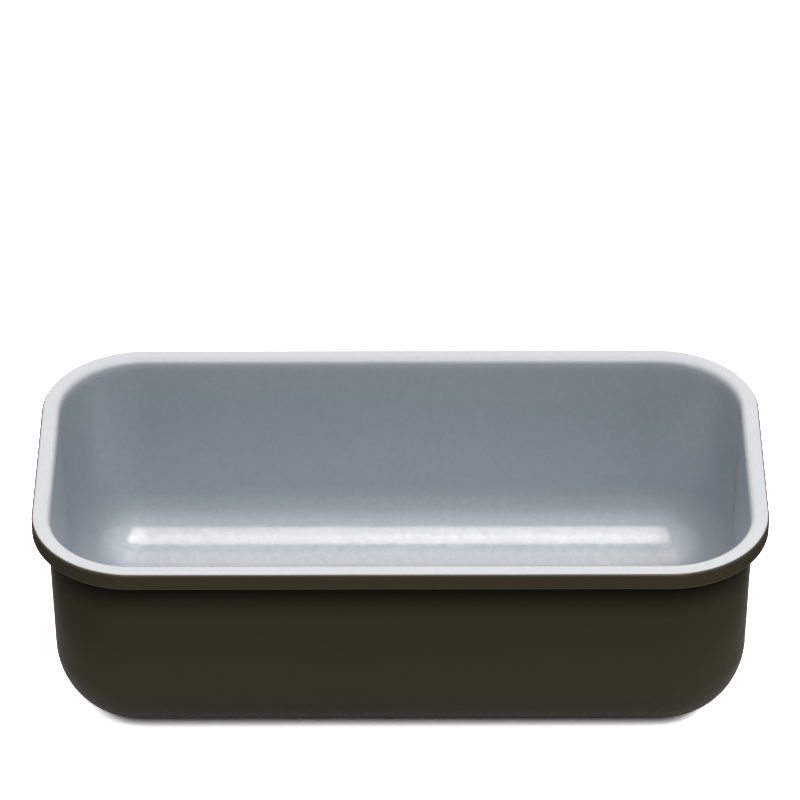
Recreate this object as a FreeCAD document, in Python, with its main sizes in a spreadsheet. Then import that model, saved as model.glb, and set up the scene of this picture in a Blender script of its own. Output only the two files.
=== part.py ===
import FreeCAD, Part
import math
import os
import Sketcher

# Loaf pan: a pressed sheet-steel body whose rim is rolled around a steel wire,
# with a light coating on the inside and a dark coating on the outside.
#
# Frame: millimetres, +X along the pan, +Y across it, +Z up.  The origin is the
# centre of the flat base, on the surface that the pan stands on.
#
# The section of the wall and rim is the same all the way round, so every layer
# is one closed section that is padded along the straight sides, revolved round
# each corner and joined to a flat floor plate.  In the section, "reach" is the
# distance inwards from the outermost edge of the rim.

os.makedirs("parts", exist_ok=True)

doc = FreeCAD.newDocument("loaf_pan")

# ---------------------------------------------------------------- dimensions
# Alias, value, meaning.
DIMENSIONS = [
    ("rim_length", 267.0, "overall length, over the rim"),
    ("rim_width", 140.4, "overall width, over the rim"),
    ("pan_height", 86.4, "overall height, base to top of rim"),
    ("rim_corner", 37.5, "plan radius of the rim's outermost edge"),
    ("rim_reach", 5.7, "rim's outermost edge to the outside of the wall, under the rim"),
    ("lip_depth", 7.2, "top of rim to underside of the rolled lip"),
    ("wall_draft", 1.2, "wall's lean from the vertical, degrees"),
    ("base_radius", 30.0, "outside radius between wall and base"),
    ("draw_radius", 2.6, "radius between inside wall and rim top, at the surface"),
    ("bend_inside", 0.3, "inside radius of the sheet's tight bends"),
    ("sheet_gauge", 0.9, "sheet steel thickness"),
    ("coat_inside", 0.1, "inside coating thickness"),
    ("coat_outside", 0.1, "outside coating thickness"),
    ("seam_turn", 35.0, "where the coatings meet on the outer top bend, degrees past level"),
    ("hem_clearance", 0.15, "rolled edge to wall, inside the roll"),
    ("wire_diameter", 4.6, "rim wire diameter"),
    ("wire_gap", 1.2, "gap between the rim wire's two ends"),
]

sheet = doc.addObject("Spreadsheet::Sheet", "Sizes")
sheet.set("A1", "Size")
sheet.set("B1", "Value")
sheet.set("C1", "Meaning")
for row, (alias, value, meaning) in enumerate(DIMENSIONS, start=2):
    sheet.set("A%d" % row, alias)
    sheet.set("B%d" % row, str(value))
    sheet.set("C%d" % row, meaning)
    sheet.setAlias("B%d" % row, alias)
value_of = {alias: value for alias, value, meaning in DIMENSIONS}
doc.recompute()


class Size:
    """A number that also carries the sheet expression that gives it."""

    def __init__(self, value, text):
        self.value = float(value)
        self.text = text

    def joined(self, sign, other, value):
        return Size(value, "(%s %s %s)" % (self.text, sign, other.text))

    @staticmethod
    def wrap(other):
        return other if isinstance(other, Size) else Size(other, repr(float(other)))

    def __add__(self, other):
        other = Size.wrap(other)
        return self.joined("+", other, self.value + other.value)

    def __sub__(self, other):
        other = Size.wrap(other)
        return self.joined("-", other, self.value - other.value)

    def __mul__(self, other):
        other = Size.wrap(other)
        return self.joined("*", other, self.value * other.value)

    def __truediv__(self, other):
        other = Size.wrap(other)
        return self.joined("/", other, self.value / other.value)

    def __neg__(self):
        return Size(-self.value, "(-1 * %s)" % self.text)


def cell(alias):
    return Size(value_of[alias], "Sizes." + alias)


def trig(name, degrees):
    """Sine, cosine or tangent of an angle in degrees."""
    work = getattr(math, name)
    return Size(work(math.radians(degrees.value)), "%s(%s * 1 deg)" % (name, degrees.text))


ZERO = Size(0.0, "0")

length = cell("rim_length")
width = cell("rim_width")
height = cell("pan_height")
corner = cell("rim_corner")
lip = cell("lip_depth")
base_radius = cell("base_radius")
draw_radius = cell("draw_radius")
bend_inner = cell("bend_inside")
gauge = cell("sheet_gauge")
skin_in = cell("coat_inside")
skin_out = cell("coat_outside")
clearance = cell("hem_clearance")
wire_diameter = cell("wire_diameter")
gap = cell("wire_gap")

lean_sin = trig("sin", cell("wall_draft"))
lean_cos = trig("cos", cell("wall_draft"))
lean_tan = trig("tan", cell("wall_draft"))
seam_sin = trig("sin", cell("seam_turn"))
seam_cos = trig("cos", cell("seam_turn"))

# Depth is measured from the outside surface inwards.
steel_back = skin_out + gauge         # depth of the steel's inside face
total = skin_in + gauge + skin_out    # full thickness of the wall
bend_outer = gauge + bend_inner       # outer radius of the steel's tight bends

# Corner axes stand at +-half_x, +-half_y.
half_x = length / 2 - corner
half_y = width / 2 - corner

# ----------------------------------------------------- landmarks of the section
# Bend between base and wall; the wall starts at wall_end.
wall_end_z = base_radius - base_radius * lean_sin
wall_end_reach = cell("rim_reach") + (height - lip - wall_end_z) * lean_tan
base_reach = wall_end_reach + base_radius * lean_cos
base_centre = (base_reach, base_radius)


def wall_reach(depth, z):
    """Reach of the wall surface at this depth, at height z."""
    return wall_end_reach - (z - wall_end_z) * lean_tan + depth / lean_cos


def wall_foot(depth):
    """Where the wall surface at this depth meets the base bend."""
    return (wall_end_reach + depth * lean_cos, wall_end_z + depth * lean_sin)


# Draw bend between the inside wall and the rim's top.
draw_z = height - draw_radius
draw_end_z = draw_z + draw_radius * lean_sin
draw_reach = wall_reach(total, draw_end_z) - draw_radius * lean_cos
draw_centre = (draw_reach, draw_z)


def draw_end(radius):
    """Where the draw bend of this radius meets the wall."""
    return (draw_reach + radius * lean_cos, draw_z + radius * lean_sin)


# Outer top bend and lower lip bend, one above the other.
lip_reach = skin_out + bend_outer
top_z = height - skin_in - bend_outer
low_z = height - lip + skin_out + bend_outer
top_centre = (lip_reach, top_z)
low_centre = (lip_reach, low_z)


def seam(radius):
    """Where the coatings meet, at this radius of the outer top bend."""
    return (lip_reach - radius * seam_sin, top_z + radius * seam_cos)


# ------------------------------------------------------------------- sections
# A section is a closed list of corners (reach, height).  A third entry makes the
# edge that leaves the corner an arc: (radius, centre, turn).  The turn is as seen
# in the sketch, where the section is drawn as (distance from corner axis, height).
ANTICLOCKWISE = 1
CLOCKWISE = -1


def bend_from(point, radius, centre, turn):
    """A corner that an arc leaves."""
    return (*point, (radius, centre, turn))


def base_bend_out(depth):
    """Base bend at this depth, from the floor to the wall."""
    return bend_from((base_reach, depth), base_radius - depth, base_centre, ANTICLOCKWISE)


def base_bend_back(depth):
    """Base bend at this depth, from the wall to the floor."""
    return bend_from(wall_foot(depth), base_radius - depth, base_centre, CLOCKWISE)


def steel_section():
    under_z = height - skin_in - gauge     # steel's underside, at the rim's top
    hem_z = height - lip + skin_out        # steel's underside, at the lip
    hem_reach = wall_reach(skin_out, hem_z + gauge) - clearance
    draw_inner = draw_radius - skin_in - gauge
    draw_outer = draw_radius - skin_in
    return [
        base_bend_out(skin_out),
        bend_from(wall_foot(skin_out), None, None, None)[:2],
        bend_from(draw_end(draw_inner), draw_inner, draw_centre, CLOCKWISE),
        (draw_reach, under_z),
        bend_from((lip_reach, under_z), bend_inner, top_centre, CLOCKWISE),
        (steel_back, top_z),
        bend_from((steel_back, low_z), bend_inner, low_centre, CLOCKWISE),
        (lip_reach, hem_z + gauge),
        (hem_reach, hem_z + gauge),
        (hem_reach, hem_z),
        bend_from((lip_reach, hem_z), bend_outer, low_centre, ANTICLOCKWISE),
        (skin_out, low_z),
        bend_from((skin_out, top_z), bend_outer, top_centre, ANTICLOCKWISE),
        (lip_reach, height - skin_in),
        bend_from((draw_reach, height - skin_in), draw_outer, draw_centre, ANTICLOCKWISE),
        draw_end(draw_outer),
        base_bend_back(steel_back),
        (base_reach, steel_back),
    ]


def inside_section():
    surface_bend = bend_outer + skin_in
    draw_back = draw_radius - skin_in
    return [
        base_bend_out(steel_back),
        wall_foot(steel_back),
        bend_from(draw_end(draw_back), draw_back, draw_centre, CLOCKWISE),
        (draw_reach, height - skin_in),
        bend_from((lip_reach, height - skin_in), bend_outer, top_centre, CLOCKWISE),
        seam(bend_outer),
        bend_from(seam(surface_bend), surface_bend, top_centre, ANTICLOCKWISE),
        (lip_reach, height),
        bend_from((draw_reach, height), draw_radius, draw_centre, ANTICLOCKWISE),
        draw_end(draw_radius),
        base_bend_back(total),
        (base_reach, total),
    ]


def outside_section():
    surface_bend = bend_outer + skin_out
    lip_z = height - lip
    return [
        base_bend_out(ZERO),
        wall_foot(ZERO),
        (wall_reach(ZERO, lip_z), lip_z),
        bend_from((lip_reach, lip_z), surface_bend, low_centre, ANTICLOCKWISE),
        (ZERO, low_z),
        bend_from((ZERO, top_z), surface_bend, top_centre, ANTICLOCKWISE),
        seam(surface_bend),
        bend_from(seam(bend_outer), bend_outer, top_centre, CLOCKWISE),
        (skin_out, top_z),
        bend_from((skin_out, low_z), bend_outer, low_centre, CLOCKWISE),
        (lip_reach, lip_z + skin_out),
        (wall_reach(skin_out, lip_z + skin_out), lip_z + skin_out),
        base_bend_back(skin_out),
        (base_reach, skin_out),
    ]


def radial(section):
    """The section as (distance from the corner's axis, height)."""
    result = []
    for reach, z, *arc in section:
        point = (corner - reach, z)
        if arc:
            radius, centre, turn = arc[0]
            point = bend_from(point, radius, (corner - centre[0], centre[1]), turn)
        result.append(point)
    return result


# ------------------------------------------------------------- sketch helpers
START, END, CENTRE = 1, 2, 3    # Sketcher's numbers for the points of an edge


def plane(body, role):
    return next(item for item in body.Origin.OriginFeatures if item.Role == role)


def new_sketch(body, name, role, offset):
    """Sketch on an origin plane, moved by sizes along its own axes."""
    sketch = body.newObject("Sketcher::SketchObject", name)
    sketch.AttachmentSupport = [(plane(body, role), "")]
    sketch.MapMode = "FlatFace"
    for axis, size in offset.items():
        sketch.setExpression(".AttachmentOffset.Base." + axis, size.text)
    return sketch


def constrain(sketch, kind, *where, size):
    """Add a dimension and bind it to the sheet."""
    number = sketch.addConstraint(Sketcher.Constraint(kind, *where, size.value))
    sketch.setExpression("Constraints[%d]" % number, size.text)


def place(sketch, edge, point, x_size, y_size):
    """Fix a sketch point; a zero coordinate puts it on the other axis."""
    for kind, size, other_axis in (("DistanceX", x_size, -2), ("DistanceY", y_size, -1)):
        if abs(size.value) < 1e-12:
            sketch.addConstraint(
                Sketcher.Constraint("PointOnObject", edge, point, other_axis))
        else:
            constrain(sketch, kind, -1, START, edge, point, size=size)


def vector(point):
    return FreeCAD.Vector(point[0].value, point[1].value, 0)


def arc_edge(first, last, centre, radius):
    """Arc running anticlockwise from first to last."""
    start = math.atan2(first.y - centre.y, first.x - centre.x)
    stop = math.atan2(last.y - centre.y, last.x - centre.x)
    if stop < start:
        stop += 2 * math.pi
    circle = Part.Circle(centre, FreeCAD.Vector(0, 0, 1), radius.value)
    return Part.ArcOfCircle(circle, start, stop)


def draw(sketch, corners):
    """Draw a closed loop of lines and arcs; return the index of its last edge."""
    edges = []    # index, point it begins at, point it finishes at, radius
    for here, there in zip(corners, corners[1:] + corners[:1]):
        begin, finish = vector(here), vector(there)
        if len(here) == 2:
            index = sketch.addGeometry(Part.LineSegment(begin, finish), False)
            edges.append((index, START, END, None))
            continue
        radius, centre, turn = here[2]
        if turn == ANTICLOCKWISE:
            arc = arc_edge(begin, finish, vector(centre), radius)
            edges.append((sketch.addGeometry(arc, False), START, END, radius))
        else:
            arc = arc_edge(finish, begin, vector(centre), radius)
            edges.append((sketch.addGeometry(arc, False), END, START, radius))
    for edge, following in zip(edges, edges[1:] + edges[:1]):
        index, _, finish, radius = edge
        sketch.addConstraint(
            Sketcher.Constraint("Coincident", index, finish, following[0], following[1]))
        if radius is not None:
            constrain(sketch, "Radius", index, size=radius)
    for edge, here in zip(edges, corners):
        place(sketch, edge[0], edge[1], here[0], here[1])
    return edges[-1][0]


# -------------------------------------------------------------------- pieces
def layer(name, section, floor_low, floor_thick):
    """One sheet-like layer of the pan: floor, walls, corners and rim."""
    body = doc.addObject("PartDesign::Body", name)
    body.Label = name

    # A quarter of the flat floor.
    floor = new_sketch(body, name + "_floor_outline", "XY_Plane", {"z": floor_low})
    far_x = length / 2 - base_reach
    far_y = width / 2 - base_reach
    draw(floor, [
        (ZERO, ZERO),
        (far_x, ZERO),
        bend_from((far_x, half_y), corner - base_reach, (half_x, half_y), ANTICLOCKWISE),
        (half_x, far_y),
        (ZERO, far_y),
    ])
    plate = body.newObject("PartDesign::Pad", name + "_floor")
    plate.Profile = floor
    plate.setExpression("Length", floor_thick.text)

    # End wall, then the corner, from one section across the corner's axis.
    end = new_sketch(body, name + "_end_section", "XZ_Plane", {"x": half_x, "z": -half_y})
    draw(end, radial(section))
    end_wall = body.newObject("PartDesign::Pad", name + "_end_wall")
    end_wall.Profile = end
    end_wall.setExpression("Length", half_y.text)
    turned = body.newObject("PartDesign::Revolution", name + "_corner")
    turned.Profile = end
    turned.ReferenceAxis = (end, ["V_Axis"])
    turned.Angle = 90.0

    # Long wall.
    side = new_sketch(body, name + "_side_section", "YZ_Plane", {"x": half_y, "z": half_x})
    draw(side, radial(section))
    long_wall = body.newObject("PartDesign::Pad", name + "_side_wall")
    long_wall.Profile = side
    long_wall.Reversed = True
    long_wall.setExpression("Length", half_x.text)
    doc.recompute()

    # The other three quarters.
    around = body.newObject("PartDesign::MultiTransform", name + "_quarters")
    around.Originals = [plate, end_wall, turned, long_wall]
    mirrors = []
    for suffix, role in (("_mirror_ends", "YZ_Plane"), ("_mirror_sides", "XZ_Plane")):
        mirror = body.newObject("PartDesign::Mirrored", name + suffix)
        mirror.MirrorPlane = (plane(body, role), [""])
        mirrors.append(mirror)
    around.Transformations = mirrors
    body.Tip = around
    doc.recompute()
    return body


def wire_path(run_x, run_y, radius):
    """Clockwise loop seen from above, from one wire end to the other."""
    def signed(size, sign):
        return size if sign > 0 else -size

    points = [(gap / 2, run_y)]
    for sign_x, sign_y in ((1, 1), (1, -1), (-1, -1), (-1, 1)):
        axis_x, axis_y = signed(half_x, sign_x), signed(half_y, sign_y)
        on_side = (axis_x, signed(run_y, sign_y))
        on_end = (signed(run_x, sign_x), axis_y)
        first, last = (on_side, on_end) if sign_x == sign_y else (on_end, on_side)
        points += [bend_from(first, radius, (axis_x, axis_y), CLOCKWISE), last]
    points.append((-(gap / 2), run_y))
    return points


def make_rim_wire():
    """Round wire bent to the rim's shape, its ends a small gap apart on the +Y side."""
    body = doc.addObject("PartDesign::Body", "rim_wire")
    body.Label = "rim_wire"

    # The wire is centred in the space inside the roll.
    roof_z = height - skin_in - gauge
    sill_z = height - lip + skin_out + gauge
    wire_z = (roof_z + sill_z) / 2
    wire_reach = (steel_back + wall_reach(skin_out, wire_z)) / 2
    run_x = length / 2 - wire_reach
    run_y = width / 2 - wire_reach

    path = new_sketch(body, "rim_wire_path", "XY_Plane", {"z": wire_z})
    points = wire_path(run_x, run_y, corner - wire_reach)
    # The last edge closes the loop across the gap: it is only a guide.
    path.setConstruction(draw(path, points), True)

    ring = new_sketch(body, "rim_wire_section", "YZ_Plane", {"z": gap / 2})
    outline = Part.Circle(
        vector((run_y, wire_z)), FreeCAD.Vector(0, 0, 1), wire_diameter.value / 2)
    circle = ring.addGeometry(outline, False)
    place(ring, circle, CENTRE, run_y, wire_z)
    constrain(ring, "Diameter", circle, size=wire_diameter)
    doc.recompute()

    sweep = body.newObject("PartDesign::AdditivePipe", "rim_wire_sweep")
    sweep.Profile = ring
    sweep.Spine = (path, ["Edge%d" % number for number in range(1, len(points))])
    body.Tip = sweep
    doc.recompute()
    return body


# Pressed steel shell: floor, walls, flange and the lip rolled back to the wall.
steel_shell = layer("steel_shell", steel_section(), skin_out, gauge)

# Inside coating: floor, walls and rim top, ending on the outer top bend.
interior_coating = layer("interior_coating", inside_section(), steel_back, skin_in)

# Outside coating: lip, its underside, walls and base.
exterior_coating = layer("exterior_coating", outside_section(), ZERO, skin_out)

rim_wire = make_rim_wire()
pieces = [steel_shell, rim_wire, interior_coating, exterior_coating]

# ------------------------------------------------------- soundness and export
for item in doc.Objects:
    bad = [state for state in item.State if state in ("Invalid", "Error")]
    if bad:
        raise RuntimeError("%s is %s" % (item.Name, ", ".join(bad)))
    if item.TypeId == "Sketcher::SketchObject" and not item.FullyConstrained:
        raise RuntimeError("%s isn't fully constrained" % item.Name)

for body in pieces:
    shape = body.Shape
    if shape.isNull() or not shape.isValid() or len(shape.Solids) != 1:
        raise RuntimeError("%s is not one valid solid" % body.Label)

outer_box = exterior_coating.Shape.optimalBoundingBox(False, False)
inner_box = interior_coating.Shape.optimalBoundingBox(False, False)
for what, found, wanted in (
    ("length over the rim", outer_box.XLength, length.value),
    ("width over the rim", outer_box.YLength, width.value),
    ("underside", outer_box.ZMin, 0.0),
    ("height", inner_box.ZMax, height.value),
):
    if abs(found - wanted) > 1e-3:
        raise RuntimeError("%s is %.4f, not %.4f" % (what, found, wanted))

# The layers meet face to face and never share any volume.
MAX_OVERLAP = 0.05    # cubic millimetres
for i, one in enumerate(pieces):
    for other in pieces[i + 1:]:
        shared = one.Shape.common(other.Shape)
        volume = sum(abs(solid.Volume) for solid in shared.Solids)
        if volume > MAX_OVERLAP:
            raise RuntimeError("%s and %s overlap by %.3f mm3" % (one.Label, other.Label, volume))

for body in pieces:
    body.Shape.exportStep("parts/%s.step" % body.Label)
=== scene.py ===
# Loaf pan with rounded corners, a rolled lip and two coatings.  It lies in its
# own frame in metres: +X along the pan, +Y to the back, +Z up, with the origin
# at the centre of the base.  The sheet steel and the rim wire stay as the frame
# gives them.  The two coatings, which are all that can be seen, are swept here
# as fine quad meshes with exact surface normals.

import math

import bpy
import numpy as np
from mathutils import Matrix, Vector


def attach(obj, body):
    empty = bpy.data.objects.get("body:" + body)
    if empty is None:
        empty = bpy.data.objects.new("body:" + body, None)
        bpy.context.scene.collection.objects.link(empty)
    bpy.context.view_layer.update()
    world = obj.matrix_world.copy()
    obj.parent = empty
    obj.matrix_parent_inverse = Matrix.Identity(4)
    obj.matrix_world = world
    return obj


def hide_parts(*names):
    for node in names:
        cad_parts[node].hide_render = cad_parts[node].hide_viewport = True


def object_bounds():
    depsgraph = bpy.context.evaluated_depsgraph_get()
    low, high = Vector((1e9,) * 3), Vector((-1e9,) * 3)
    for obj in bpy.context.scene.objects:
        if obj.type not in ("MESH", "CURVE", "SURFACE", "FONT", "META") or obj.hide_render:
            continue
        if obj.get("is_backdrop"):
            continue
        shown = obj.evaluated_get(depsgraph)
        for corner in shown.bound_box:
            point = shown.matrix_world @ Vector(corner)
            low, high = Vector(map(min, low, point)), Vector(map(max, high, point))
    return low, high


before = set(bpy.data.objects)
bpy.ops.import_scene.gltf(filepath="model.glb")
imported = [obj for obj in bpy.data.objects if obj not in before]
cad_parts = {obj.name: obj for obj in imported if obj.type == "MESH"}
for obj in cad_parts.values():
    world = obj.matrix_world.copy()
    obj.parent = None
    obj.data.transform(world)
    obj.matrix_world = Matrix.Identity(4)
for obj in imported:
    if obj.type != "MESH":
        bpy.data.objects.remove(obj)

scene = bpy.context.scene
MM = 0.001
cad_low, cad_high = (Vector(corner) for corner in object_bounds())

# ---------------------------------------------------------------- sizes, in mm
LENGTH = (cad_high.x - cad_low.x) / MM
WIDTH = (cad_high.y - cad_low.y) / MM
HEIGHT = cad_high.z / MM

CORNER = 37.5               # plan radius at the rim's outermost edge
REACH = 5.7                 # rim edge to the outside of the wall
LIP = 7.2                   # depth of the rolled lip
DRAFT = math.radians(1.2)   # slope of the wall
BASE_R = 30.0               # outside radius between wall and base
DRAW_R = 2.6                # radius between inside wall and rim top
NOOK_R = 0.35               # fillet of film between the wall and the lip's underside
GAUGE = 0.9                 # thickness of the steel
FILM = 0.1                  # thickness of each coating
BEND = GAUGE + 0.3          # outer radius of the steel's tight bends
TOTAL = GAUGE + 2 * FILM

# The centres of the four corner arcs are this far from the middle.
HALF_X = LENGTH / 2 - CORNER
HALF_Y = WIDTH / 2 - CORNER

# The section is drawn in (inset, z), where inset is the distance inwards from
# the rim's outermost edge.  These are the directions of its arcs.
UP, OUTWARD, DOWN = math.pi / 2, math.pi, 1.5 * math.pi
WALLWARD = OUTWARD + DRAFT  # from the base bend's centre to the wall

WALL_TANGENT = math.tan(DRAFT)
INNER_WALL_NORMAL = (math.cos(DRAFT), math.sin(DRAFT))
OUTER_WALL_NORMAL = (-math.cos(DRAFT), -math.sin(DRAFT))

# Where the outside of the wall meets the base bend.
foot_z = BASE_R * (1 - math.sin(DRAFT))
foot_inset = REACH + (HEIGHT - LIP - foot_z) * WALL_TANGENT
base_inset = foot_inset + BASE_R * math.cos(DRAFT)


def wall_inset(depth, z):
    """Inset of the wall's layer at a depth below its outside face."""
    return foot_inset - (z - foot_z) * WALL_TANGENT + depth / math.cos(DRAFT)


def wall_foot(depth):
    return foot_inset + depth * math.cos(DRAFT), foot_z + depth * math.sin(DRAFT)


# Centres of the bends at the rim.
draw_z = HEIGHT - DRAW_R
draw_inset = wall_inset(TOTAL, draw_z + DRAW_R * math.sin(DRAFT)) - DRAW_R * math.cos(DRAFT)
lip_inset = FILM + BEND
lip_top_z = HEIGHT - FILM - BEND
hem_z = HEIGHT - LIP        # underside of the lip
lip_low_z = hem_z + FILM + BEND

# ------------------------------------------------------- stations round the rim
LONG_STEPS, SHORT_STEPS, CORNER_STEPS = 32, 12, 40


def stations():
    """Rows of (centre x, centre y, outward x, outward y, distance run), and the girth."""
    rows = []
    run = 0.0
    corners = [(HALF_X, HALF_Y), (-HALF_X, HALF_Y), (-HALF_X, -HALF_Y), (HALF_X, -HALF_Y)]
    for side in range(4):
        angle = side * math.pi / 2
        out_x, out_y = round(math.cos(angle)), round(math.sin(angle))
        start, end = corners[side - 1], corners[side]
        steps = SHORT_STEPS if side % 2 == 0 else LONG_STEPS
        span = 2 * (HALF_Y if side % 2 == 0 else HALF_X)
        for k in range(steps):
            share = k / steps
            rows.append((start[0] + (end[0] - start[0]) * share,
                         start[1] + (end[1] - start[1]) * share,
                         out_x, out_y, run + span * share))
        run += span
        arc = CORNER * math.pi / 2
        for k in range(CORNER_STEPS):
            turned = angle + math.pi / 2 * k / CORNER_STEPS
            rows.append((*end, math.cos(turned), math.sin(turned),
                         run + arc * k / CORNER_STEPS))
        run += arc
    return np.array(rows), run


STATIONS, GIRTH = stations()
COUNT = len(STATIONS)
CENTRE_X, CENTRE_Y, OUT_X, OUT_Y, RUN = STATIONS.T

# The edge between the two coatings lies on the lip's upper bend, this far
# outwards from its top, and wanders very slightly round the rim.
SEAM = math.radians(35.0)
SEAM_FACE = (math.cos(SEAM), math.sin(SEAM))
SEAM_WANDER = math.radians(1.0)
# (waves round the rim, phase, share of the wander)
SEAM_WAVES = ((3, 0.4, 1.0), (7, 2.1, 0.6), (19, 1.3, 0.45), (43, 5.0, 0.35), (71, 0.9, 0.25))

round_rim = RUN / GIRTH * 2 * math.pi
SEAM_ANGLE = UP + (SEAM + SEAM_WANDER * sum(
    share * np.sin(waves * round_rim + phase) for waves, phase, share in SEAM_WAVES))
SEAM_ON_STEEL = (lip_inset + BEND * np.cos(SEAM_ANGLE), lip_top_z + BEND * np.sin(SEAM_ANGLE))


# -------------------------------------------------------------------- sections
class Section:
    """A closed section as rings of points; each link between rings has its own normals.

    Every ring is a pair of arrays, inset and z, with one value per station."""

    def __init__(self, inset, z):
        self.points = [(np.full(COUNT, inset), np.full(COUNT, z))]
        self.links = []      # (normal at this ring, normal at the next) per link

    def line(self, inset, z, steps, normal):
        inset_from, z_from = self.points[-1]
        facing = (np.full(COUNT, normal[0]), np.full(COUNT, normal[1]))
        for k in range(1, steps + 1):
            share = k / steps
            self.points.append((inset_from + (inset - inset_from) * share,
                                z_from + (z - z_from) * share))
            self.links.append((facing, facing))

    def arc(self, centre, radius, start, end, steps, side):
        """Side +1 gives normals that point away from the centre, and -1 towards it."""
        start, end = np.zeros(COUNT) + start, np.zeros(COUNT) + end

        def facing(angle):
            return side * np.cos(angle), side * np.sin(angle)

        for k in range(1, steps + 1):
            before = start + (end - start) * (k - 1) / steps
            after = start + (end - start) * k / steps
            self.points.append((centre[0] + radius * np.cos(after),
                                centre[1] + radius * np.sin(after)))
            self.links.append((facing(before), facing(after)))


BASE_CENTRE = (base_inset, BASE_R)
DRAW_CENTRE = (draw_inset, draw_z)
LIP_TOP_CENTRE = (lip_inset, lip_top_z)
LIP_LOW_CENTRE = (lip_inset, lip_low_z)


def inside_section():
    # The open face, from the floor up and out over the rim.
    section = Section(CORNER, TOTAL)
    section.line(base_inset, TOTAL, steps=1, normal=(0, 1))
    section.arc(BASE_CENTRE, BASE_R - TOTAL, DOWN, WALLWARD, steps=48, side=-1)
    section.line(draw_inset + DRAW_R * math.cos(DRAFT), draw_z + DRAW_R * math.sin(DRAFT),
                 steps=16, normal=INNER_WALL_NORMAL)
    section.arc(DRAW_CENTRE, DRAW_R, DRAFT, UP, steps=20, side=1)
    section.line(lip_inset, HEIGHT, steps=4, normal=(0, 1))
    section.arc(LIP_TOP_CENTRE, BEND + FILM, UP, SEAM_ANGLE, steps=8, side=1)
    # Through the film at the seam, then back along the steel.
    section.line(*SEAM_ON_STEEL, steps=1, normal=(-SEAM_FACE[0], -SEAM_FACE[1]))
    section.arc(LIP_TOP_CENTRE, BEND, SEAM_ANGLE, UP, steps=8, side=-1)
    section.line(draw_inset, HEIGHT - FILM, steps=4, normal=(0, -1))
    section.arc(DRAW_CENTRE, DRAW_R - FILM, UP, DRAFT, steps=20, side=-1)
    section.line(*wall_foot(FILM + GAUGE), steps=16, normal=OUTER_WALL_NORMAL)
    section.arc(BASE_CENTRE, BASE_R - FILM - GAUGE, WALLWARD, DOWN, steps=48, side=1)
    section.line(CORNER, FILM + GAUGE, steps=1, normal=(0, -1))
    return section


def outside_section():
    # The fillet's centre is NOOK_R from the wall and from the lip's underside.
    nook_z = hem_z - NOOK_R
    nook_inset = wall_inset(0.0, nook_z) - NOOK_R / math.cos(DRAFT)
    # The open face, from under the base up the wall and round the lip.
    section = Section(CORNER, 0.0)
    section.line(base_inset, 0.0, steps=1, normal=(0, -1))
    section.arc(BASE_CENTRE, BASE_R, DOWN, WALLWARD, steps=48, side=1)
    section.line(nook_inset + NOOK_R * math.cos(DRAFT), nook_z + NOOK_R * math.sin(DRAFT),
                 steps=14, normal=OUTER_WALL_NORMAL)
    section.arc((nook_inset, nook_z), NOOK_R, DRAFT, UP, steps=6, side=-1)
    section.line(lip_inset, hem_z, steps=5, normal=(0, -1))
    section.arc(LIP_LOW_CENTRE, BEND + FILM, DOWN, OUTWARD, steps=14, side=1)
    section.line(0.0, lip_top_z, steps=6, normal=(-1, 0))
    section.arc(LIP_TOP_CENTRE, BEND + FILM, OUTWARD, SEAM_ANGLE, steps=10, side=1)
    # Through the film at the seam, then back along the steel.
    section.line(*SEAM_ON_STEEL, steps=1, normal=SEAM_FACE)
    section.arc(LIP_TOP_CENTRE, BEND, SEAM_ANGLE, OUTWARD, steps=10, side=-1)
    section.line(FILM, lip_low_z, steps=6, normal=(1, 0))
    section.arc(LIP_LOW_CENTRE, BEND, OUTWARD, DOWN, steps=14, side=-1)
    section.line(wall_inset(FILM, hem_z + FILM), hem_z + FILM, steps=5, normal=(0, 1))
    section.line(*wall_foot(FILM), steps=14, normal=INNER_WALL_NORMAL)
    section.arc(BASE_CENTRE, BASE_R - FILM, WALLWARD, DOWN, steps=48, side=-1)
    section.line(CORNER, FILM, steps=1, normal=(0, 1))
    return section


# ----------------------------------------------------------------------- sweep
def plan_key(x, y):
    return round(x, 5), round(y, 5)


def swept_verts(section):
    """The vertices, each ring's vertex numbers, and the end rings' numbers by plan place."""
    last = len(section.points) - 1
    places = np.zeros((last + 1, COUNT, 3))
    for ring, (inset, z) in enumerate(section.points):
        places[ring, :, 0] = CENTRE_X + (CORNER - inset) * OUT_X
        places[ring, :, 1] = CENTRE_Y + (CORNER - inset) * OUT_Y
        places[ring, :, 2] = z
    verts = []
    index = np.zeros((last + 1, COUNT), int)
    shared = {0: {}, last: {}}
    # The first and last rings run round the floor's plain rectangle, so every
    # station of one corner shares one vertex.
    for ring, seen in shared.items():
        for i in range(COUNT):
            spot = plan_key(*places[ring, i, :2])
            if spot not in seen:
                seen[spot] = len(verts)
                verts.append(tuple(places[ring, i]))
            index[ring, i] = seen[spot]
    for ring in range(1, last):
        for i in range(COUNT):
            index[ring, i] = len(verts)
            verts.append(tuple(places[ring, i]))
    return verts, index, shared


def wall_faces(section, index):
    """Quads between the rings, as (vertex numbers, normals) pairs."""
    def normal(pair, i):
        return -pair[0][i] * OUT_X[i], -pair[0][i] * OUT_Y[i], pair[1][i]

    faces = []
    for ring, (first, second) in enumerate(section.links):
        for i in range(COUNT):
            after = (i + 1) % COUNT
            # A repeated vertex is dropped, where a quad closes to a triangle.
            corners = {}
            for row, side, pair in ((ring, i, first), (ring, after, first),
                                    (ring + 1, after, second), (ring + 1, i, second)):
                corners.setdefault(int(index[row, side]), normal(pair, side))
            if len(corners) >= 3:
                faces.append((list(corners), list(corners.values())))
    return faces


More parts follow.
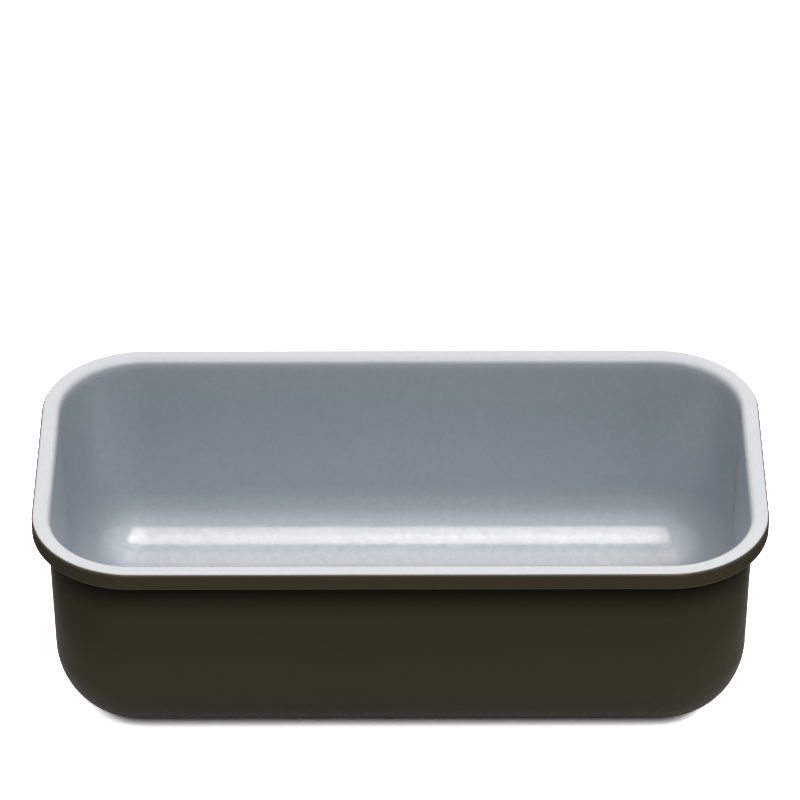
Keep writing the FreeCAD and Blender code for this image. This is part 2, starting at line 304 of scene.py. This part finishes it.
def floor_faces(verts, seen, z, facing):
    """A grid inside one end ring; its new vertices are added to verts."""
    numbers = {}
    for a in range(LONG_STEPS + 1):
        x = HALF_X * (1 - 2 * a / LONG_STEPS)
        for b in range(SHORT_STEPS + 1):
            y = -HALF_Y * (1 - 2 * b / SHORT_STEPS)
            spot = plan_key(x, y)
            if spot in seen:
                numbers[a, b] = seen[spot]
            else:
                numbers[a, b] = len(verts)
                verts.append((x, y, z))
    return [([numbers[a, b], numbers[a + 1, b], numbers[a + 1, b + 1], numbers[a, b + 1]],
             [(0, 0, facing)] * 4)
            for a in range(LONG_STEPS) for b in range(SHORT_STEPS)]


def sweep(name, section):
    """Sweep a closed section round the rim and close its floor with grids."""
    verts, index, shared = swept_verts(section)
    faces = wall_faces(section, index)
    for (ring, seen), end_link in zip(shared.items(), (section.links[0], section.links[-1])):
        faces += floor_faces(verts, seen, section.points[ring][1][0], end_link[0][1][0])
    verts = np.array(verts) * MM

    # Every face turns the way its own normals point.
    loops, loop_normals = [], []
    for loop, normals in faces:
        first, second, third, last = (verts[loop[k]] for k in (0, 1, 2, -1))
        turn = np.cross(third - first, last - second)
        if np.dot(turn, np.sum(normals, axis=0)) < 0:
            loop, normals = loop[::-1], normals[::-1]
        loops.append(loop)
        loop_normals.extend(normals)
    loop_normals = np.array(loop_normals)
    loop_normals /= np.linalg.norm(loop_normals, axis=1)[:, None]

    mesh = bpy.data.meshes.new(name)
    mesh.from_pydata([tuple(place) for place in verts], [], loops)
    mesh.update()
    mesh.shade_smooth()
    mesh.normals_split_custom_set([tuple(normal) for normal in loop_normals])
    mesh.update()
    piece = bpy.data.objects.new(name, mesh)
    scene.collection.objects.link(piece)
    return piece


lining = sweep("ceramic_lining", inside_section())
jacket = sweep("dark_outer_coat", outside_section())

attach(lining, "root")
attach(jacket, "root")
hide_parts("interior_coating")
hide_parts("exterior_coating")


# ----------------------------------------------------------------- node helper
class Nodes:
    """A short way to write the node tree of a material, a world or a light."""

    def __init__(self, owner, kind="Material", place="Object"):
        owner.use_nodes = True
        self.tree = owner.node_tree
        self.tree.nodes.clear()
        self.out = self.new("ShaderNodeOutput" + kind)
        if place:
            self.place = self.new("ShaderNodeTexCoord").outputs[place]

    def new(self, kind, sockets=None, **settings):
        """Add a node; sockets gives its inputs, by name or number."""
        node = self.tree.nodes.new(kind)
        for key, value in settings.items():
            setattr(node, key, value)
        for key, value in (sockets or {}).items():
            self.put(node.inputs[key], value)
        return node

    def put(self, socket, value):
        if isinstance(value, bpy.types.NodeSocket):
            self.tree.links.new(value, socket)
        elif socket.type == "RGBA":
            socket.default_value = (*value, 1)
        else:
            socket.default_value = value

    def finish(self, shader):
        self.put(self.out.inputs["Surface"], shader.outputs[0])

    def axes(self):
        """The place's x, y and z."""
        return self.new("ShaderNodeSeparateXYZ", {0: self.place}).outputs

    def noise(self, scale, detail=2.0, rough=0.5, stretch=None):
        source = self.place
        if stretch:
            source = self.new("ShaderNodeMapping",
                              {"Vector": source, "Scale": stretch}).outputs["Vector"]
        return self.new("ShaderNodeTexNoise", {
            "Scale": scale, "Detail": detail, "Roughness": rough,
            "Vector": source}).outputs["Fac"]

    def cells(self, scale):
        """Distance from each cell's centre, and a random number for each cell."""
        node = self.new("ShaderNodeTexVoronoi", {"Scale": scale, "Vector": self.place})
        parts = self.new("ShaderNodeSeparateColor", {0: node.outputs["Color"]})
        return node.outputs["Distance"], parts.outputs[0]

    def math(self, kind, first, second=0.0):
        sockets = {0: first, 1: second, 2: 0.0}
        return self.new("ShaderNodeMath", sockets, operation=kind).outputs[0]

    def scaled(self, value, by):
        return self.math("MULTIPLY", value, by)

    def above(self, value, limit):
        return self.math("GREATER_THAN", value, limit)

    def below(self, value, limit):
        return self.math("LESS_THAN", value, limit)

    def span(self, value, gives, reads=(0.3, 0.7), smooth=False):
        """Map the range reads to the range gives; the default suits a noise."""
        return self.new("ShaderNodeMapRange", {
            "From Min": reads[0], "From Max": reads[1],
            "To Min": gives[0], "To Max": gives[1], "Value": value},
            interpolation_type="SMOOTHSTEP" if smooth else "LINEAR").outputs["Result"]

    def mix(self, share, under, over, kind="MIX"):
        return self.new("ShaderNodeMix", {0: share, 6: under, 7: over},
                        data_type="RGBA", blend_type=kind).outputs[2]

    def speckle(self, shade, distance, chosen, edge, strength, colour):
        """Lay a soft-edged dot of colour in each chosen cell."""
        dots = self.scaled(self.span(distance, reads=edge, gives=(1, 0)), by=chosen)
        return self.mix(self.scaled(dots, by=strength), under=shade, over=colour)

    def bump(self, height, distance):
        return self.new("ShaderNodeBump",
                        {"Distance": distance, "Height": height}).outputs["Normal"]

    def relief(self, fine, fine_mm, broad, broad_mm):
        """A normal from two patterns, each with its height in mm."""
        height = self.math("ADD", self.scaled(fine, by=fine_mm), self.scaled(broad, by=broad_mm))
        return self.bump(height, distance=MM)

    def surface(self, **values):
        sockets = {key.replace("_", " "): value for key, value in values.items()}
        self.finish(self.new("ShaderNodeBsdfPrincipled", sockets))


# ------------------------------------------------------------------- materials
def ceramic_lining():
    """Light grey: a fine pearl pigment under a clear satin top film.

    The film's fine grain breaks up the edges of reflections. Over the rim the
    pigment is less metallic and the film duller, a fitted tone."""
    material = bpy.data.materials.new("ceramic_lining")
    look = Nodes(material)
    tone = look.noise(scale=14, detail=3, rough=0.55)
    mottle = look.noise(scale=210)
    shade = look.mix(look.span(tone, gives=(0, 1)),
                     under=(0.376, 0.430, 0.486), over=(0.396, 0.450, 0.506))
    shade = look.mix(look.span(mottle, reads=(0.35, 0.65), gives=(0.0, 0.30)),
                     under=shade, over=(0.362, 0.414, 0.468))
    distance, pick = look.cells(scale=1350)
    shade = look.speckle(shade, distance, chosen=look.above(pick, limit=0.80),
                         edge=(0.20, 0.36), strength=0.16, colour=(0.28, 0.31, 0.34))
    shade = look.speckle(shade, distance, chosen=look.below(pick, limit=0.20),
                         edge=(0.18, 0.34), strength=0.28, colour=(0.60, 0.63, 0.66))
    grain = look.noise(scale=2300, rough=0.6)
    ripples = look.noise(scale=240)
    film_normal = look.relief(grain, fine_mm=0.0105, broad=ripples, broad_mm=0.010)
    pigment_normal = look.bump(ripples, distance=0.006 * MM)
    pigment_rough = look.span(look.noise(scale=420, rough=0.6), gives=(0.59, 0.67))
    z = look.axes()[2]
    film_rough = look.span(z, reads=(81.0 * MM, 84.5 * MM), gives=(0.10, 0.50), smooth=True)
    unevenness = look.span(look.noise(scale=520, rough=0.6), gives=(0.9, 1.1))
    metallic = look.span(z, reads=(79.5 * MM, 86.2 * MM), gives=(0.80, 0.25), smooth=True)
    look.surface(Base_Color=shade, Metallic=metallic, Roughness=pigment_rough, IOR=1.5,
                 Normal=pigment_normal, Coat_Weight=1.0, Coat_IOR=1.62,
                 Coat_Roughness=look.scaled(film_rough, by=unevenness),
                 Coat_Normal=film_normal)
    return material


def dark_outer_coat():
    """Dark olive-brown: a smooth satin film over fine orange peel, with painted shade under the
    lip and a painted highlight on the lip's lower bend.
    """
    material = bpy.data.materials.new("dark_outer_coat")
    look = Nodes(material)
    tone = look.noise(scale=16, detail=3)
    shade = look.mix(look.span(tone, gives=(0, 1)),
                     under=(0.0490, 0.0440, 0.0255), over=(0.0520, 0.0470, 0.0275))
    distance, pick = look.cells(scale=900)
    shade = look.speckle(shade, distance, chosen=look.above(pick, limit=0.86),
                         edge=(0.15, 0.28), strength=0.20, colour=(0.085, 0.077, 0.052))
    z = look.axes()[2]

    # Painted shade: the wall under the lip is made darker, which deepens the shadow there.
    # A darker, fitted tone on the wall under the lip deepens the shadow there.
    fade_in = look.span(z, reads=(60.0 * MM, 75.0 * MM), gives=(0.0, 1.0), smooth=True)
    fade_out = look.span(z, reads=(74.5 * MM, 78.5 * MM), gives=(1.0, 0.35))
    on_wall = look.below(z, limit=78.9 * MM)
    shade = look.mix(look.scaled(look.scaled(fade_in, by=fade_out), by=on_wall),
                     under=shade, over=(0.0200, 0.0165, 0.0100))

    # A paler tone on the lip, fitted, and a painted highlight along its lower bend.
    on_lip = look.above(z, limit=79.0 * MM)
    shade = look.mix(look.scaled(on_lip, by=0.5), under=shade, over=(0.0660, 0.0540, 0.0380))
    # Mask of the painted highlight: a pale line along the lip's lower bend.
    line = look.scaled(look.span(z, reads=(79.2 * MM, 79.4 * MM), gives=(0, 1)),
                       by=look.span(z, reads=(79.9 * MM, 80.4 * MM), gives=(1, 0)))
    shade = look.mix(look.scaled(line, by=look.span(tone, gives=(0.7, 1.0))),
                     under=shade, over=(0.190, 0.178, 0.130))

    peel = look.noise(scale=900, detail=3, rough=0.6)
    ripples = look.noise(scale=240)
    normal = look.relief(peel, fine_mm=0.0045, broad=ripples, broad_mm=0.010)
    rough = look.span(look.noise(scale=380, rough=0.6), gives=(0.36, 0.46))
    look.surface(Base_Color=shade, Roughness=rough, Normal=normal, IOR=1.30,
                 Coat_Weight=0.5, Coat_IOR=1.40, Coat_Roughness=0.14, Coat_Normal=normal)
    return material


def aluminised_sheet():
    """Sheet steel under the coatings, with its grain along X."""
    material = bpy.data.materials.new("aluminised_sheet")
    look = Nodes(material)
    grain = look.noise(scale=300, detail=3, rough=0.6, stretch=(0.06, 1, 1))
    spots = look.noise(scale=90)
    shade = look.mix(look.span(grain, gives=(0, 1)),
                     under=(0.56, 0.57, 0.59), over=(0.66, 0.67, 0.69))
    rough = look.math("ADD", look.span(grain, gives=(0.30, 0.42)), look.scaled(spots, by=0.06))
    look.surface(Base_Color=shade, Metallic=1.0, Roughness=rough,
                 Normal=look.bump(grain, distance=0.004 * MM))
    return material


def drawn_wire():
    """Drawn steel wire: fine draw lines and a faint dull film."""
    material = bpy.data.materials.new("drawn_wire")
    look = Nodes(material)
    lines = look.noise(scale=900, detail=3, rough=0.6, stretch=(0.08, 0.08, 1))
    film = look.noise(scale=120)
    shade = look.mix(look.span(film, reads=(0.35, 0.65), gives=(0, 1)),
                     under=(0.42, 0.42, 0.43), over=(0.54, 0.53, 0.52))
    look.surface(Base_Color=shade, Metallic=1.0, Roughness=look.span(lines, gives=(0.28, 0.46)),
                 Normal=look.bump(lines, distance=0.006 * MM))
    return material


ceramic, outer_coat = ceramic_lining(), dark_outer_coat()
lining.data.materials.append(ceramic)
jacket.data.materials.append(outer_coat)

for node_name, node_material in (("steel_shell", aluminised_sheet()), ("rim_wire", drawn_wire()),
                                 ("interior_coating", ceramic),
                                 ("exterior_coating", outer_coat)):
    cad_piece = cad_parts[node_name]
    if not cad_piece.material_slots:
        cad_piece.data.materials.append(node_material)
    for slot in cad_piece.material_slots:
        slot.material = node_material

# ----------------------------------------------------------------------- floor
FLOOR_HALF = 6.0
FLOOR_DROP = 0.00005        # keeps the floor clear of the base


def studio_floor():
    """Paper that is bright for the camera, with a painted contact shadow near the base, and darker
    for bounced light.
    """
    material = bpy.data.materials.new("studio_floor")
    look = Nodes(material)
    paper = look.span(look.noise(scale=30), gives=(0.985, 1.0))
    path = look.new("ShaderNodeLightPath")
    # Distance out from the rectangle that the pan's four corner arcs are centred on.
    axes = look.axes()
    squares = []
    for axis, half in ((axes[0], HALF_X * MM), (axes[1], HALF_Y * MM)):
        beyond = look.math("SUBTRACT", look.math("ABSOLUTE", axis), half)
        over = look.math("MAXIMUM", beyond, 0.0)
        squares.append(look.scaled(over, by=over))
    reach = look.math("SQRT", look.math("ADD", *squares))
    # For bounced light: a grey card under the pan and a duller table beyond it.
    card = look.mix(look.span(reach, reads=(0.046, 0.054), gives=(0, 1)),
                    under=(0.24, 0.24, 0.23), over=(0.16, 0.16, 0.15))
    bounced = look.mix(look.span(reach, reads=(0.066, 0.088), gives=(0, 1)),
                       under=card, over=(0.04, 0.04, 0.038))
    # Bright for the camera, with a painted contact shadow: darker close to the base.
    camera_colour_with_painted_shadow = look.mix(look.span(reach, reads=(0.0112, 0.0160), gives=(0, 1)),
                   under=(0.76, 0.79, 0.83), over=(2.74, 2.88, 3.04))
    seen = look.mix(path.outputs["Is Camera Ray"], under=bounced, over=camera_colour_with_painted_shadow)
    tinted = look.mix(1.0, under=seen, over=paper, kind="MULTIPLY")
    look.finish(look.new("ShaderNodeBsdfDiffuse", {"Color": tinted}))
    return material


floor_mesh = bpy.data.meshes.new("studio_floor")
floor_mesh.from_pydata([(x * FLOOR_HALF, y * FLOOR_HALF, 0)
                        for x, y in ((-1, -1), (1, -1), (1, 1), (-1, 1))], [], [(0, 1, 2, 3)])
floor = bpy.data.objects.new("studio_floor", floor_mesh)
floor.location.z = -FLOOR_DROP
scene.collection.objects.link(floor)
floor_mesh.materials.append(studio_floor())
floor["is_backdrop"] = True

# ----------------------------------------------------------------------- world
# White for the camera, and for the lighting a few broad smooth lobes of light.
# Each is (azimuth, elevation, the dot product with its axis at which it starts,
# colour); azimuth 0 is in front and +90 to the right.
LOBES = {
    "up": (0, 90, 0.2, (0.20, 0.19, 0.185)),
    "rear": (180, 35, 0.2, (1.66, 1.50, 1.38)),
    "left": (-90, 38, 0.74, (0.22, 0.22, 0.22)),
    "right": (90, 38, 0.74, (0.62, 0.62, 0.62)),
    "front_left": (-58, 44, 0.76, (0.72, 0.70, 0.68)),
    "front_right": (58, 44, 0.76, (0.78, 0.76, 0.74)),
}


def direction(azimuth, elevation):
    turn, lift = math.radians(azimuth), math.radians(elevation)
    return Vector((math.sin(turn) * math.cos(lift), -math.cos(turn) * math.cos(lift),
                   math.sin(lift)))


def build_world():
    world = bpy.data.worlds.new("studio")
    scene.world = world
    sky = Nodes(world, "World", place="Generated")

    def vector(kind, sockets, **settings):
        return sky.new("ShaderNodeVectorMath", sockets, operation=kind, **settings).outputs

    total = None
    for lobe, (azimuth, elevation, low, colour) in LOBES.items():
        nearness = vector("DOT_PRODUCT", {0: sky.place, 1: direction(azimuth, elevation)})["Value"]
        ease = sky.span(nearness, reads=(low, 1.0), gives=(0, 1), smooth=True)
        light = vector("SCALE", {0: colour, "Scale": ease}, name="lobe_" + lobe)[0]
        total = light if total is None else vector("ADD", {0: total, 1: light})[0]
    lighting = sky.new("ShaderNodeBackground", {"Color": total})
    white = sky.new("ShaderNodeBackground", {"Color": (1, 1, 1)})
    path = sky.new("ShaderNodeLightPath")
    sky.finish(sky.new("ShaderNodeMixShader", {
        0: path.outputs["Is Camera Ray"], 1: lighting.outputs[0], 2: white.outputs[0]}))


build_world()

# ---------------------------------------------------------------------- lights
LIT_POINT = Vector((0, 0, HEIGHT * MM * 0.6))
LIGHT_HEIGHT = 1.2          # above the lit point


def panel(name, left, right, low, high, radiance, colour):
    """A soft ceiling panel. It fills the arc from low to high degrees above the
    front horizon, as seen from the pan, and runs from left to right across."""
    front = -LIGHT_HEIGHT / math.tan(math.radians(low))
    rear = -LIGHT_HEIGHT / math.tan(math.radians(high))
    light = bpy.data.lights.new(name, "AREA")
    light.shape = "RECTANGLE"
    light.size, light.size_y = right - left, rear - front
    # A lamp of this radiance gives pi * area * radiance watts.
    light.energy = radiance * math.pi * (right - left) * (rear - front)
    light.color = colour
    lamp = bpy.data.objects.new(name, light)
    scene.collection.objects.link(lamp)
    lamp.location = LIT_POINT + Vector(((left + right) / 2, (front + rear) / 2, LIGHT_HEIGHT))
    lamp.visible_camera = False
    return lamp


def grade(lamp, across, along):
    """Shade a panel: across and along are (position 0 to 1, strength) stops."""
    look = Nodes(lamp.data, "Light", place=None)
    geometry = look.new("ShaderNodeNewGeometry")
    parts = look.new("ShaderNodeSeparateXYZ", {0: geometry.outputs["Parametric"]})
    factors = {}
    for k, stops in enumerate((across, along)):
        ramp = look.new("ShaderNodeValToRGB", {"Fac": parts.outputs[k]})
        ramp.color_ramp.interpolation = "EASE"
        while len(ramp.color_ramp.elements) < len(stops):
            ramp.color_ramp.elements.new(0.5)
        for element, (position, strength) in zip(ramp.color_ramp.elements, stops):
            element.position = position
            element.color = (strength, strength, strength, 1)
        factors[k] = ramp.outputs["Color"]
    product = look.new("ShaderNodeMath", factors, operation="MULTIPLY")
    look.finish(look.new("ShaderNodeEmission", {"Strength": product.outputs[0]}))


key = panel("key_front", left=-0.62, right=0.80, low=37, high=64,
            radiance=5.5, colour=(1.08, 1.0, 0.93))
grade(key,
      across=((0.0, 0.0), (0.022, 0.52), (0.28, 0.72), (0.42, 0.90), (0.56, 1.0),
              (0.66, 1.02), (0.78, 1.25), (0.90, 1.0), (0.972, 0.76), (1.0, 0.0)),
      along=((0.0, 0.82), (0.35, 0.88), (0.58, 1.0), (0.68, 1.22), (0.80, 1.0), (1.0, 0.85)))
panel("overhead", left=-0.70, right=0.70, low=76, high=98,
      radiance=1.10, colour=(1.10, 1.0, 0.92))

# ---------------------------------------------------------------------- camera
# A long lens in front of the pan, looking down at about 35 degrees.
LENS, SENSOR = 226.9971, 36.0                       # mm
PITCH, YAW, ROLL = (math.radians(angle) for angle in (35.42287, -0.09406, -0.15245))
# Distance from the middle of the rim's plane, then shifts to the right and up.
AWAY, SHIFT_RIGHT, SHIFT_UP = 1.850931, -0.0000554, 0.0215091


def build_camera():
    ahead = Vector((math.sin(YAW) * math.cos(PITCH), math.cos(YAW) * math.cos(PITCH),
                    -math.sin(PITCH)))
    level_right = Vector((math.cos(YAW), -math.sin(YAW), 0))
    level_up = level_right.cross(ahead)
    spot = (Vector((0, 0, HEIGHT * MM)) - ahead * AWAY
            + level_right * SHIFT_RIGHT + level_up * SHIFT_UP)
    right = level_right * math.cos(ROLL) + level_up * math.sin(ROLL)
    up = level_up * math.cos(ROLL) - level_right * math.sin(ROLL)
    data = bpy.data.cameras.new("camera")
    data.sensor_fit = "HORIZONTAL"
    data.sensor_width = SENSOR
    data.lens = LENS
    data.clip_start, data.clip_end = 0.05, 60.0
    camera = bpy.data.objects.new("camera", data)
    scene.collection.objects.link(camera)
    columns = (right, up, -ahead, spot)
    camera.matrix_world = Matrix([[column[k] for column in columns] for k in range(3)]
                                 + [[0, 0, 0, 1]])
    scene.camera = camera


build_camera()

scene.view_settings.view_transform = "Standard"
scene.view_settings.look = "None"
scene.view_settings.exposure = 0.0
scene.view_settings.gamma = 1.0
